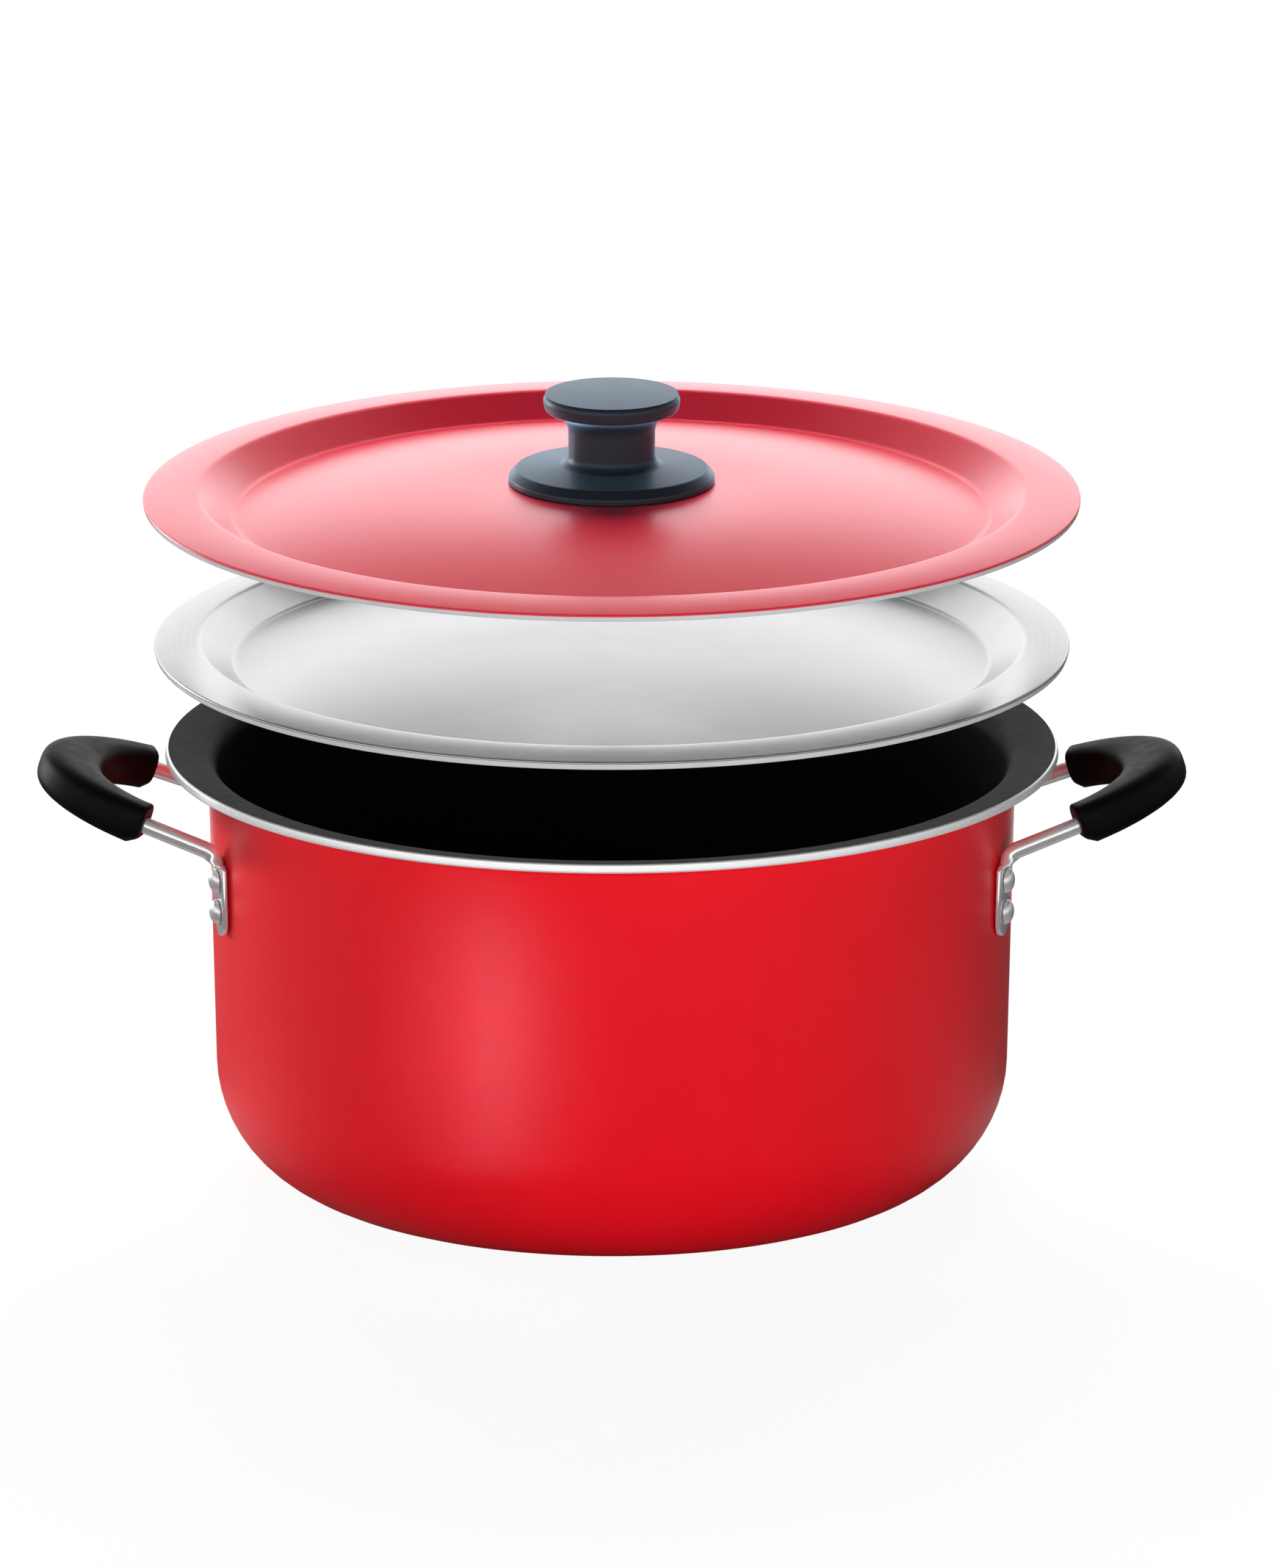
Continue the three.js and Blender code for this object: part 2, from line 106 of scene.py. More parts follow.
# Knob and what holds it
KNOB_HEIGHT = 32.5
KNOB_CAP_R = 24.8
KNOB_CAP_THICK = 5.6
KNOB_CAP_TAPER = 1
KNOB_CROWN = 0.8
KNOB_UNDERCUT = 3.5
KNOB_NECK_R = 15.5
KNOB_NECK_FILLET = 4
KNOB_CAP_FILLET = 7
KNOB_CAP_ROUND = 2.4
KNOB_BASE_R = 36.8
KNOB_BASE_TOP_R = 34.2
KNOB_BASE_EDGE = 1.8
KNOB_BASE_THICK = 4.6
KNOB_BASE_RISE = 1.6
KNOB_EDGE_ROUND = 1.4
KNOB_SEAT_MARGIN = 1.7
INSERT_D = 9
INSERT_LENGTH = 14
INSERT_RECESS = 1
SCREW_D = 4
SCREW_BITE = 10
SCREW_HEAD_D = 8
SCREW_HEAD_H = 2.4
SCREW_HEAD_ROUND = 1.2
SCREW_SLOT_LENGTH = 5
SCREW_SLOT_W = 1.3
SCREW_SLOT_DEPTH = 1.2
WASHER_D = 16
WASHER_THICK = 1
WASHER_ROUND = 0.3

# Fineness of the surfaces
TURN_STEPS = 192
KNOB_STEPS = 128
SMALL_STEPS = 48
ARC_STEP = 6
DOME_STEPS = 24
RIM_STEPS = 10
WIRE_SIDES = 24
GRIP_SIDES = 48
BEND_STEPS = 14
TIP_STEPS = 10
HEAD_STEPS = 10
BOW_STEPS = 40
SHARP_ANGLE = 40
SAME_POINT = 0.001
ROUND = 2


# Outlines: lists of points, radius then height

def round_corner(before, corner, after, radius):
    """The arc that rounds off a corner between two neighbours."""
    back = (before - corner).normalized()
    ahead = (after - corner).normalized()
    half = math.acos(back.dot(ahead)) / 2
    centre = corner + (back + ahead).normalized() * (radius / math.sin(half))
    start = corner + back * (radius / math.tan(half)) - centre
    end = corner + ahead * (radius / math.tan(half)) - centre
    sweep = math.atan2(start.x * end.y - start.y * end.x, start.dot(end))
    steps = max(3, math.ceil(abs(math.degrees(sweep)) / ARC_STEP))
    return [centre + Matrix.Rotation(sweep * i / steps, 2) @ start for i in range(steps + 1)]


def rounded_path(corners):
    """A path through corners, each given as radius, height and, where it is rounded, a rounding."""
    points = [Vector(corner[:2]) for corner in corners]
    path = []
    for i, corner in enumerate(corners):
        if len(corner) == 3:
            path += round_corner(points[i - 1], points[i], points[i + 1], corner[2])
        else:
            path.append(points[i])
    return path


def offset_path(path, distance):
    """A path beside another, to its left. The first point keeps its radius."""
    moved = []
    for i, point in enumerate(path):
        arriving = (point - path[max(i - 1, 0)]).normalized()
        leaving = (path[min(i + 1, len(path) - 1)] - point).normalized()
        along = (arriving + leaving).normalized()
        stretch = 1 / along.dot(leaving if i == 0 else arriving)
        moved.append(point + Vector((-along.y, along.x)) * distance * stretch)
    moved[0].x = path[0].x
    return moved


def sheet_edge(lower, upper):
    """The rounded edge between the ends of a sheet's two faces."""
    corners = [lower[-2], lower[-1], upper[-1], upper[-2]]
    low = round_corner(*corners[:3], EDGE_ROUND)
    high = round_corner(*corners[1:], EDGE_ROUND)
    return low + high


# Meshes

def new_piece(name, points, faces, face_materials, materials):
    mesh = bpy.data.meshes.new(name)
    mesh.from_pydata([Vector(p) * MM for p in points], [], faces)
    for material in materials:
        mesh.materials.append(material)
    mesh.polygons.foreach_set("material_index", face_materials)
    mesh.shade_smooth()
    mesh.set_sharp_from_angle(angle=math.radians(SHARP_ANGLE))
    mesh.validate()
    piece = bpy.data.objects.new(name, mesh)
    bpy.context.scene.collection.objects.link(piece)
    return piece


def turned(name, zones, steps, rise=0, hollow=False):
    """A body turned about the Z axis, whose outline closes on itself if it is hollow.

    Zones are pairs of a material and outline points, one after another.
    """
    outline = [(point, zone) for zone, (_, points) in enumerate(zones) for point in points]
    points = []
    rings = []
    for point, _ in outline:
        count = 1 if point.x < SAME_POINT else steps
        rings.append([len(points) + i for i in range(count)])
        turns = [2 * math.pi * i / steps for i in range(count)]
        points += [(point.x * math.cos(t), point.x * math.sin(t), point.y + rise) for t in turns]
    faces = []
    face_materials = []
    for here in range(len(rings) if hollow else len(rings) - 1):
        there = (here + 1) % len(rings)
        if (outline[here][0] - outline[there][0]).length < SAME_POINT:
            rings[there] = rings[here]
            continue
        for i in range(steps):
            j = (i + 1) % steps
            a, b = rings[here], rings[there]
            corners = [a[i % len(a)], a[j % len(a)], b[j % len(b)], b[i % len(b)]]
            faces.append(list(dict.fromkeys(corners)))
            face_materials.append(outline[there][1])
    return new_piece(name, points, faces, face_materials, [material for material, _ in zones])


def ring(centre, across, up, half_width, half_height, sides, squareness=ROUND):
    """One ring of a loft: an ellipse in the plane of two axes, or a squarer shape above ROUND."""
    points = []
    for i in range(sides):
        angle = 2 * math.pi * (i + 0.5) / sides
        round_place = (math.cos(angle), math.sin(angle))
        x, y = (math.copysign(abs(v) ** (ROUND / squareness), v) for v in round_place)
        points.append(centre + across * (half_width * x) + up * (half_height * y))
    return points


def lofted(name, rings, material):
    """A closed skin through rings of equally many points, capped at both ends."""
    sides = len(rings[0])
    points = [point for each in rings for point in each]
    faces = []
    for start in range(0, len(points) - sides, sides):
        for side in range(sides):
            a, b = start + side, start + (side + 1) % sides
            faces.append([a, b, b + sides, a + sides])
    last = len(points) - sides
    faces.append(list(reversed(range(sides))))
    faces.append(list(range(last, len(points))))
    return new_piece(name, points, faces, [0] * len(faces), [material])


# Materials. A grain is the scale and the detail of a noise, whose features measure about 1 / scale metres

NOISE_LOW = 0.3
NOISE_HIGH = 0.7
SPUN_COLOUR_GRAIN = (60, 3)
SPUN_RING_GRAIN = (1500, 5)
CHROME_COLOURS = ((0.84, 0.84, 0.85), (0.90, 0.90, 0.91))
WHITE = (1, 1, 1, 1)


def remap(tree, value, source, target):
    """Moves a value from one range to another."""
    node = tree.nodes.new("ShaderNodeMapRange")
    node.inputs["From Min"].default_value = source[0]
    node.inputs["From Max"].default_value = source[1]
    node.inputs["To Min"].default_value = target[0]
    node.inputs["To Max"].default_value = target[1]
    tree.links.new(value, node.inputs["Value"])
    return node.outputs["Result"]


def scaled_length(tree, vector, scale):
    """The length of a vector whose parts are first scaled."""
    shape = tree.nodes.new("ShaderNodeVectorMath")
    shape.operation = "MULTIPLY"
    shape.inputs[1].default_value = scale
    tree.links.new(vector, shape.inputs[0])
    length = tree.nodes.new("ShaderNodeVectorMath")
    length.operation = "LENGTH"
    tree.links.new(shape.outputs["Vector"], length.inputs[0])
    return length.outputs["Value"]


class Finish:
    """A material on one principled shader, with its textures laid in the frame's own space."""

    def __init__(self, name, **values):
        self.material = bpy.data.materials.new(name)
        self.material.use_nodes = True
        self.tree = self.material.node_tree
        self.nodes = self.tree.nodes
        self.links = self.tree.links
        self.shader = self.nodes["Principled BSDF"]
        for socket, value in values.items():
            self.shader.inputs[socket.replace("_", " ")].default_value = value
        self.place = self.nodes.new("ShaderNodeTexCoord").outputs["Object"]

    def noise(self, grain, source=None):
        """Noise in space, or along a source value."""
        node = self.nodes.new("ShaderNodeTexNoise")
        node.inputs["Scale"].default_value = grain[0]
        node.inputs["Detail"].default_value = grain[1]
        if source is None:
            self.links.new(self.place, node.inputs["Vector"])
        else:
            node.noise_dimensions = "1D"
            self.links.new(source, node.inputs["W"])
        return node.outputs["Fac"]

    def roughness(self, limits, texture):
        """Lets a texture move the roughness between two limits."""
        moved = remap(self.tree, texture, (NOISE_LOW, NOISE_HIGH), limits)
        self.links.new(moved, self.shader.inputs["Roughness"])

    def tint(self, colours, texture):
        """Lets a texture move the base colour between two colours."""
        node = self.nodes.new("ShaderNodeValToRGB")
        for element, position, colour in zip(node.color_ramp.elements, (NOISE_LOW, NOISE_HIGH), colours):
            element.position = position
            element.color = (*colour, 1)
        self.links.new(texture, node.inputs["Fac"])
        self.links.new(node.outputs["Color"], self.shader.inputs["Base Color"])

    def bump(self, texture, depth):
        """Raises the surface by a texture, to a depth in millimetres."""
        node = self.nodes.new("ShaderNodeBump")
        node.inputs["Distance"].default_value = depth * MM
        self.links.new(texture, node.inputs["Height"])
        self.links.new(node.outputs["Normal"], self.shader.inputs["Normal"])


def grained(name, colours, colour_grain, roughness, roughness_grain, bump_grain, bump_depth, **values):
    """A finish with noise in its colour, its roughness and its surface."""
    finish = Finish(name, **values)
    finish.tint(colours, finish.noise(colour_grain))
    finish.roughness(roughness, finish.noise(roughness_grain))
    finish.bump(finish.noise(bump_grain), bump_depth)
    return finish.material


def red_coat(name, colours, **values):
    return grained(name, colours, colour_grain=(30, 3), roughness=(0.40, 0.44), roughness_grain=(260, 3),
                   bump_grain=(900, 2), bump_depth=0.006, Coat_Weight=1.0, **values)


def polished_metal(name, colours, roughness, metallic=1.0):
    return grained(name, colours, colour_grain=(140, 3), roughness=roughness, roughness_grain=(500, 4),
                   bump_grain=(260, 3), bump_depth=0.004, Metallic=metallic)


def spun_metal(name, colours, roughness, ring_depth, metallic=1.0):
    """Bare metal with the fine rings that spinning and polishing leave around the Z axis."""
    finish = Finish(name, Metallic=metallic)
    rings = finish.noise(SPUN_RING_GRAIN, scaled_length(finish.tree, finish.place, (1, 1, 0)))
    finish.tint(colours, finish.noise(SPUN_COLOUR_GRAIN))
    finish.roughness(roughness, rings)
    finish.bump(rings, ring_depth)
    return finish.material


RED = red_coat("red_coat", ((0.745, 0.003, 0.011), (0.765, 0.004, 0.013)),
               IOR=1.33, Coat_IOR=1.33, Coat_Roughness=0.40)
RED_LID = red_coat("red_lid_coat", ((0.745, 0.004, 0.036), (0.765, 0.005, 0.041)),
                   IOR=1.35, Coat_IOR=1.8, Coat_Roughness=0.28)
BLACK = grained("black_coat", ((0.015, 0.015, 0.0153), (0.019, 0.019, 0.0193)), colour_grain=(1600, 4),
                roughness=(0.52, 0.58), roughness_grain=(240, 3), bump_grain=(1400, 3), bump_depth=0.005,
                IOR=1.14)
EDGE = spun_metal("bare_edge", ((0.88, 0.88, 0.885), (0.92, 0.92, 0.925)),
                  roughness=(0.20, 0.28), ring_depth=0.002, metallic=0.4)
BASE = spun_metal("turned_base", ((0.62, 0.62, 0.63), (0.70, 0.70, 0.71)),
                  roughness=(0.32, 0.46), ring_depth=0.02)
SATIN = spun_metal("satin_aluminium", ((0.54, 0.54, 0.544), (0.56, 0.56, 0.564)),
                   roughness=(0.28, 0.32), ring_depth=0.002)
BRIGHT = spun_metal("bright_underside", ((0.90, 0.90, 0.905), (0.93, 0.93, 0.935)),
                    roughness=(0.14, 0.18), ring_depth=0.001)
CHROME = polished_metal("chrome_wire", CHROME_COLOURS, roughness=(0.14, 0.20), metallic=0.7)
RIVET = polished_metal("rivet_metal", CHROME_COLOURS, roughness=(0.32, 0.38), metallic=0.7)
ZINC = polished_metal("zinc_steel", ((0.55, 0.56, 0.57), (0.66, 0.67, 0.68)), roughness=(0.22, 0.36))
BRASS = polished_metal("brass_insert", ((0.70, 0.46, 0.16), (0.78, 0.54, 0.22)), roughness=(0.26, 0.40))
GRIP = grained("black_grip", ((0.0022, 0.0022, 0.0024), (0.0030, 0.0030, 0.0032)), colour_grain=(90, 3),
               roughness=(0.42, 0.50), roughness_grain=(160, 3), bump_grain=(420, 3), bump_depth=0.006,
               IOR=1.16)
SLATE = grained("slate_knob", ((0.014, 0.020, 0.027), (0.017, 0.024, 0.032)), colour_grain=(300, 4),
                roughness=(0.38, 0.44), roughness_grain=(900, 3), bump_grain=(1300, 3), bump_depth=0.012,
                IOR=1.4, Specular_Tint=(0.50, 0.78, 1.0, 1.0), Coat_Weight=0.25, Coat_Roughness=0.3,
                Sheen_Weight=0.65, Sheen_Roughness=0.35, Sheen_Tint=(0.38, 0.66, 0.95, 1.0))


def settle(piece, body, node):
    """Gives a piece its body, and lets it stand for its node."""
    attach(piece, body)
    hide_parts(node)


# Pot: flat base, rounded corner, slightly flaring wall and a lip

lip_edge_z = POT_HEIGHT - POT_WALL * math.cos(math.radians(LIP_RISE))
lip_corner_z = lip_edge_z - (LIP_R - WALL_TOP_R) * math.tan(math.radians(LIP_RISE))
wall_lean = math.atan((WALL_TOP_R - WALL_FOOT_R) / lip_corner_z)


def wall_radius(z):
    return WALL_FOOT_R + z * math.tan(wall_lean)


def pot_shell():
    outside = rounded_path([
        (0, 0),
        (WALL_FOOT_R, 0, CORNER_R),
        (WALL_TOP_R, lip_corner_z, LIP_BEND_R),
        (LIP_R, lip_edge_z),
    ])
    inside = offset_path(outside, POT_WALL)
    edge = sheet_edge(outside, inside)
    zones = [
        (BASE, outside[:2]),
        (RED, [*outside[1:-1], edge[0]]),
        (EDGE, edge),
        (BLACK, [edge[-1], *reversed(inside[:-1])]),
    ]
    settle(turned("pot_shell", zones, TURN_STEPS), "pot", "pot_body")


# Handles: each is made at the right, and the left one is turned half round

leg_z = POT_HEIGHT - LEG_DROP
leg_angle = math.asin(LEG_HALF_SPREAD / (wall_radius(leg_z) + FIT + WIRE_D / 2))
leg_out = Vector((math.cos(leg_angle), math.sin(leg_angle), 0))
wall_along = Vector((-leg_out.y, leg_out.x, 0))
wall_normal = leg_out * math.cos(wall_lean) - Vector((0, 0, math.sin(wall_lean)))
wall_up = wall_normal.cross(wall_along)

arm_end_x = wall_radius(leg_z) + GRIP_START
pitch = math.radians(GRIP_PITCH)
grip_up = Vector((-math.sin(pitch), 0, math.cos(pitch)))
bow_reach = BOW_CENTRE + GRIP_LENGTH - BOW_WIDTH / 2
bow_end = math.acos(BOW_CENTRE / bow_reach)
bow_spread = ARM_HALF_SPREAD / math.sin(bow_end)
bow_angles = [bow_end * (1 - i / BOW_STEPS) for i in range(2 * BOW_STEPS + 1)]

tab_top = -LEG_BEND - TAB_TAPER
upper_rivet = tab_top - FIT - RIVET_HEAD_D / 2
rivet_heights = {"upper": upper_rivet, "lower": upper_rivet - RIVET_PITCH}
tab_tip = rivet_heights["lower"] - TAB_END


def at_leg(height, out):
    """A point at the back leg, by its height along the wall and its distance out from it."""
    foot = leg_out * wall_radius(leg_z) + Vector((0, 0, leg_z))
    return foot + wall_up * height + wall_normal * out


def bow_point(angle):
    x = arm_end_x - BOW_CENTRE + bow_reach * math.cos(angle)
    z = POT_HEIGHT - GRIP_DROP + (x - arm_end_x) * math.tan(pitch)
    return Vector((x, bow_spread * math.sin(angle), z))


def bow_direction(angle):
    outward = bow_reach * math.sin(angle)
    return Vector((outward, -bow_spread * math.cos(angle), outward * math.tan(pitch))).normalized()


def smooth(share):
    share = min(max(share, 0), 1)
    return share * share * (3 - 2 * share)


def mix(low, high, share):
    return low + (high - low) * share


def mirrored(points):
    return [Vector((p.x, -p.y, p.z)) for p in points]


def wire_section(centre, direction, flat):
    """A ring of the wire, from round at flat 0 to the section of the riveted tab at flat 1."""
    level = Vector((-direction.y, direction.x, 0)).normalized()
    out = level.cross(direction)
    half_thick = mix(WIRE_D, TAB_THICK, flat) / 2
    sunk = out * (half_thick - WIRE_D / 2)
    return ring(centre + sunk, out, level, half_thick, mix(WIRE_D, TAB_WIDTH, flat) / 2,
                WIRE_SIDES, mix(ROUND, TAB_SQUARENESS, flat))


def wire_rings():
    """Half of a wire, from the tip of its tab to the end of the grip's arm."""
    seat = FIT + TAB_THICK / 2
    half = TAB_WIDTH / 2
    rings = []
    for i in range(1, TIP_STEPS + 1):
        turn = math.pi / 2 * i / TIP_STEPS
        centre = at_leg(tab_tip + half * (1 - math.cos(turn)), seat)
        rings.append(ring(centre, wall_normal, wall_along, TAB_THICK / 2, half * math.sin(turn),
                          WIRE_SIDES, TAB_SQUARENESS))
    rings.append(ring(at_leg(tab_top, seat), wall_normal, wall_along, TAB_THICK / 2, half,
                      WIRE_SIDES, TAB_SQUARENESS))
    corner = at_leg(0, FIT + WIRE_D / 2)
    foot = at_leg(-LEG_BEND, FIT + WIRE_D / 2)
    arm = corner + (bow_point(bow_end) - corner).normalized() * LEG_BEND
    for i in range(BEND_STEPS + 1):
        t = i / BEND_STEPS
        centre = foot * (1 - t) ** 2 + corner * (2 * t * (1 - t)) + arm * t ** 2
        direction = ((corner - foot) * (1 - t) + (arm - corner) * t).normalized()
        rings.append(wire_section(centre, direction, 1 - smooth(TAB_EASE + t)))
    return rings


def wire(name, turn):
    half = wire_rings()
    bow = [wire_section(bow_point(angle), bow_direction(angle), 0) for angle in bow_angles]
    other = [mirrored(points) for points in reversed(half)]
    piece = lofted(name, half + bow + other, CHROME)
    piece.data.transform(turn)
    return piece


def arm_angle(distance):
    """The bow's angle at a distance from the end of the arm."""
    speed = Vector((bow_reach * math.sin(bow_end), bow_spread * math.cos(bow_end)))
    speed.x /= math.cos(pitch)
    return bow_end - distance / speed.length


def grip_section(angle, lowered, inset):
    """A ring of the grip, with its lower side raised and every side drawn in."""
    width = mix(ARM_WIDTH, BOW_WIDTH, math.cos(angle) ** 2)
    across = grip_up.cross(bow_direction(angle)).normalized()
    return ring(bow_point(angle) + grip_up * (lowered / 2), across, grip_up, width / 2 - inset,
                (GRIP_HEIGHT - lowered) / 2 - inset, GRIP_SIDES, GRIP_SQUARENESS)


def grip_rings():
    """Half of a grip, from the bottom of the wire's hole to the middle of the bow."""
    hole_r = WIRE_D / 2 + FIT
    rings = []
    for depth in (WIRE_HOLE_DEPTH, 0):
        angle = arm_angle(depth)
        across = grip_up.cross(bow_direction(angle)).normalized()
        rings.append(ring(bow_point(angle), across, grip_up, hole_r, hole_r, GRIP_SIDES))
    for i in range(HEAD_STEPS + 1):
        turn = math.pi / 2 * i / HEAD_STEPS
        back = GRIP_EDGE_ROUND * (1 - math.cos(turn))
        lowered = ARM_CHAMFER_RISE * (1 - back / ARM_CHAMFER)
        rings.append(grip_section(arm_angle(back), lowered, GRIP_EDGE_ROUND * (1 - math.sin(turn))))
    full = arm_angle(ARM_CHAMFER)
    rings.append(grip_section(full, 0, 0))
    middle = [angle for angle in bow_angles if 0 <= angle < full]
    return rings + [grip_section(angle, 0, 0) for angle in middle]


def grip(name, turn):
    half = grip_rings()
    other = [mirrored(points) for points in reversed(half[:-1])]
    piece = lofted(name, half + other, GRIP)
    piece.data.transform(turn)
    return piece


def rivet(name, height, leg, turn):
    """A rivet square to the wall, through the tab and the shell.

    Leg is 1 for the back leg and -1 for the front one.
    """
    head_r = RIVET_HEAD_D / 2
    head_seat = FIT + TAB_THICK + FIT
    tail_seat = -POT_WALL - RIVET_TAIL_GAP
    shank_r = RIVET_D / 2
    shank = rounded_path([
        (0, tail_seat - RIVET_TAIL_H),
        (head_r - RIVET_TAIL_H, tail_seat - RIVET_TAIL_H, EDGE_ROUND),
        (head_r, tail_seat),
        (shank_r, tail_seat),
        (shank_r, head_seat),
    ])
    turns = [math.pi / 2 * i / HEAD_STEPS for i in range(HEAD_STEPS)]
    dome = [Vector((head_r * math.cos(t), head_seat + RIVET_HEAD_H * math.sin(t))) for t in turns]
    top = Vector((0, head_seat + RIVET_HEAD_H))
    piece = turned(name, [(RIVET, [*shank, *dome, top])], SMALL_STEPS)
    seat = at_leg(height, 0) * MM
    normal = wall_normal.copy()
    seat.y *= leg
    normal.y *= leg
    upright = Vector((0, 0, 1)).rotation_difference(normal).to_matrix().to_4x4()
    piece.data.transform(turn @ Matrix.Translation(seat) @ upright)
    return piece


def handles():
    for side, angle in (("right", 0), ("left", math.pi)):
        turn = Matrix.Rotation(angle, 4, "Z")
        settle(wire(f"wire_{side}", turn), "pot", f"handle_wire_{side}")
        settle(grip(f"grip_{side}", turn), "pot", f"handle_grip_{side}")
        for leg_name, leg in (("back", 1), ("front", -1)):
            for place, height in rivet_heights.items():
                name = f"{side}_{leg_name}_{place}"
                piece = rivet(f"rivet_head_{name}", height, leg, turn)
                settle(piece, "pot", f"rivet_{name}")


# Lids: a flat rim, a recess and a domed floor, with heights from the top of the outer edge

recess_top_r = WALL_TOP_R - POT_WALL + RECESS_LEDGE
recess_floor_r = recess_top_r - RECESS_STEP
recess_floor_z = RIM_FALL - RECESS_DEPTH
plate_z = POT_HEIGHT + PLATE_LIFT
lid_z = plate_z + LID_LIFT
screw_hole_r = SCREW_D / 2 + FIT


def lid_face(start_r, seat_r, dome, edge_r):
    """The upper face of a lid, from a start radius out to its edge.

    The middle is flat out to the seat, and the rim curves down to the edge.
    """
    corners = [(start_r, recess_floor_z + dome)] if start_r < seat_r else []
    for i in range(DOME_STEPS):
        share = i / DOME_STEPS
        corners.append((mix(seat_r, recess_floor_r, share), recess_floor_z + dome * (1 - share ** 2)))
    corners += [
        (recess_floor_r, recess_floor_z, RECESS_ROUND),
        (recess_top_r, RIM_FALL, RECESS_ROUND),
    ]
    for i in range(1, RIM_STEPS + 1):
        share = i / RIM_STEPS
        corners.append((mix(recess_top_r, edge_r, share), RIM_FALL * (1 - share ** 2)))
    return rounded_path(corners)


def lid_zones(upper, thick, top, edge, underside):
    """The finishes of a lid. The top's finish wraps over the upper rounding of the edge."""
    lower = offset_path(upper, -thick)
    rim = sheet_edge(lower, upper)
    upper_round = len(rim) // 2
    return [
        (underside, [*lower[:-1], rim[0]]),
        (edge, rim[:upper_round + 1]),
        (top, [*rim[upper_round:], *reversed(upper[:-1])]),
    ]


def inner_lid():
    face = lid_face(0, 0, PLATE_DOME, LIP_R + PLATE_OVERHANG)
    zones = lid_zones(face, PLATE_THICK, SATIN, EDGE, BRIGHT)
    piece = turned("inner_lid_plate", zones, TURN_STEPS, plate_z)
    settle(piece, "inner_lid", "inner_lid")


def outer_lid():
    face = lid_face(screw_hole_r, KNOB_BASE_R + KNOB_SEAT_MARGIN, LID_DOME, LIP_R + LID_OVERHANG)
    zones = lid_zones(face, LID_THICK, RED_LID, EDGE, BRIGHT)
    piece = turned("outer_lid_plate", zones, TURN_STEPS, lid_z, hollow=True)
    settle(piece, "outer_lid", "outer_lid")


# Knob and its fixings, measured from the knob's underside

knob_z = lid_z + recess_floor_z + LID_DOME + FIT
washer_top = -FIT - LID_THICK - FIT


def knob():
    bore_r = INSERT_D / 2 + FIT
    bore_top = INSERT_RECESS + INSERT_LENGTH + FIT
    cap_top = KNOB_HEIGHT - KNOB_CROWN
    cap_bottom = cap_top - KNOB_CAP_THICK
    shares = [1 - i / DOME_STEPS for i in range(1, DOME_STEPS + 1)]
    crown = [(KNOB_CAP_R * s, KNOB_HEIGHT - KNOB_CROWN * s ** 2) for s in shares]
    outline = rounded_path([
        (0, bore_top),
        (bore_r, bore_top),
        (bore_r, 0),
        (KNOB_BASE_R, 0),
        (KNOB_BASE_R, KNOB_BASE_EDGE, KNOB_EDGE_ROUND),
        (KNOB_BASE_TOP_R, KNOB_BASE_THICK, KNOB_EDGE_ROUND),
        (KNOB_NECK_R, KNOB_BASE_THICK + KNOB_BASE_RISE, KNOB_NECK_FILLET),
        (KNOB_NECK_R, cap_bottom - KNOB_UNDERCUT, KNOB_CAP_FILLET),
        (KNOB_CAP_R - KNOB_CAP_TAPER, cap_bottom, KNOB_EDGE_ROUND),
        (KNOB_CAP_R, cap_top, KNOB_CAP_ROUND),
        *crown,
    ])
    piece = turned("knob_moulding", [(SLATE, outline)], KNOB_STEPS, knob_z)
    settle(piece, "outer_lid", "knob")


def washer():
    outer_r = WASHER_D / 2
    bottom = washer_top - WASHER_THICK
    outline = rounded_path([
        (screw_hole_r, bottom),
        (outer_r, bottom, WASHER_ROUND),
        (outer_r, washer_top, WASHER_ROUND),
        (screw_hole_r, washer_top),
    ])
    piece = turned("washer", [(ZINC, outline)], SMALL_STEPS, knob_z, hollow=True)
    settle(piece, "outer_lid", "knob_washer")


def block(name, size, centre):
    """A plain box, for cutting."""
    corners = [Vector((x, y, z)) for x in (-0.5, 0.5) for y in (-0.5, 0.5) for z in (-0.5, 0.5)]
    points = [centre + Vector((c.x * size.x, c.y * size.y, c.z * size.z)) for c in corners]
    faces = [(0, 1, 3, 2), (4, 6, 7, 5), (0, 4, 5, 1), (2, 3, 7, 6), (0, 2, 6, 4), (1, 5, 7, 3)]
    return new_piece(name, points, faces, [0] * len(faces), [ZINC])


def cut(piece, cutters):
    for cutter in cutters:
        modifier = piece.modifiers.new(cutter.name, "BOOLEAN")
        modifier.object = cutter
    graph = bpy.context.evaluated_depsgraph_get()
    carved = bpy.data.meshes.new_from_object(piece.evaluated_get(graph))
    piece.modifiers.clear()
    piece.data = carved
    for cutter in cutters:
        bpy.data.objects.remove(cutter)


def screw():
    head_top = washer_top - WASHER_THICK - FIT
    head = head_top - SCREW_HEAD_H
    shank_top = INSERT_RECESS + SCREW_BITE
    outline = rounded_path([
        (0, head),
        (SCREW_HEAD_D / 2, head, SCREW_HEAD_ROUND),
        (SCREW_HEAD_D / 2, head_top),
        (SCREW_D / 2, head_top),
        (SCREW_D / 2, shank_top),
        (0, shank_top),
    ])
    piece = turned("screw", [(ZINC, outline)], SMALL_STEPS, knob_z)
    long_side, short_side, depth = SCREW_SLOT_LENGTH, SCREW_SLOT_W, 2 * SCREW_SLOT_DEPTH
    middle = Vector((0, 0, knob_z + head))
    cut(piece, [
        block("slot_x", Vector((long_side, short_side, depth)), middle),
        block("slot_y", Vector((short_side, long_side, depth)), middle),
    ])
    settle(piece, "outer_lid", "knob_screw")


def insert():
    """The bush keeps its own solid, which the knob hides."""
    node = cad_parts["knob_insert"]
    node.data.materials.clear()
    node.data.materials.append(BRASS)


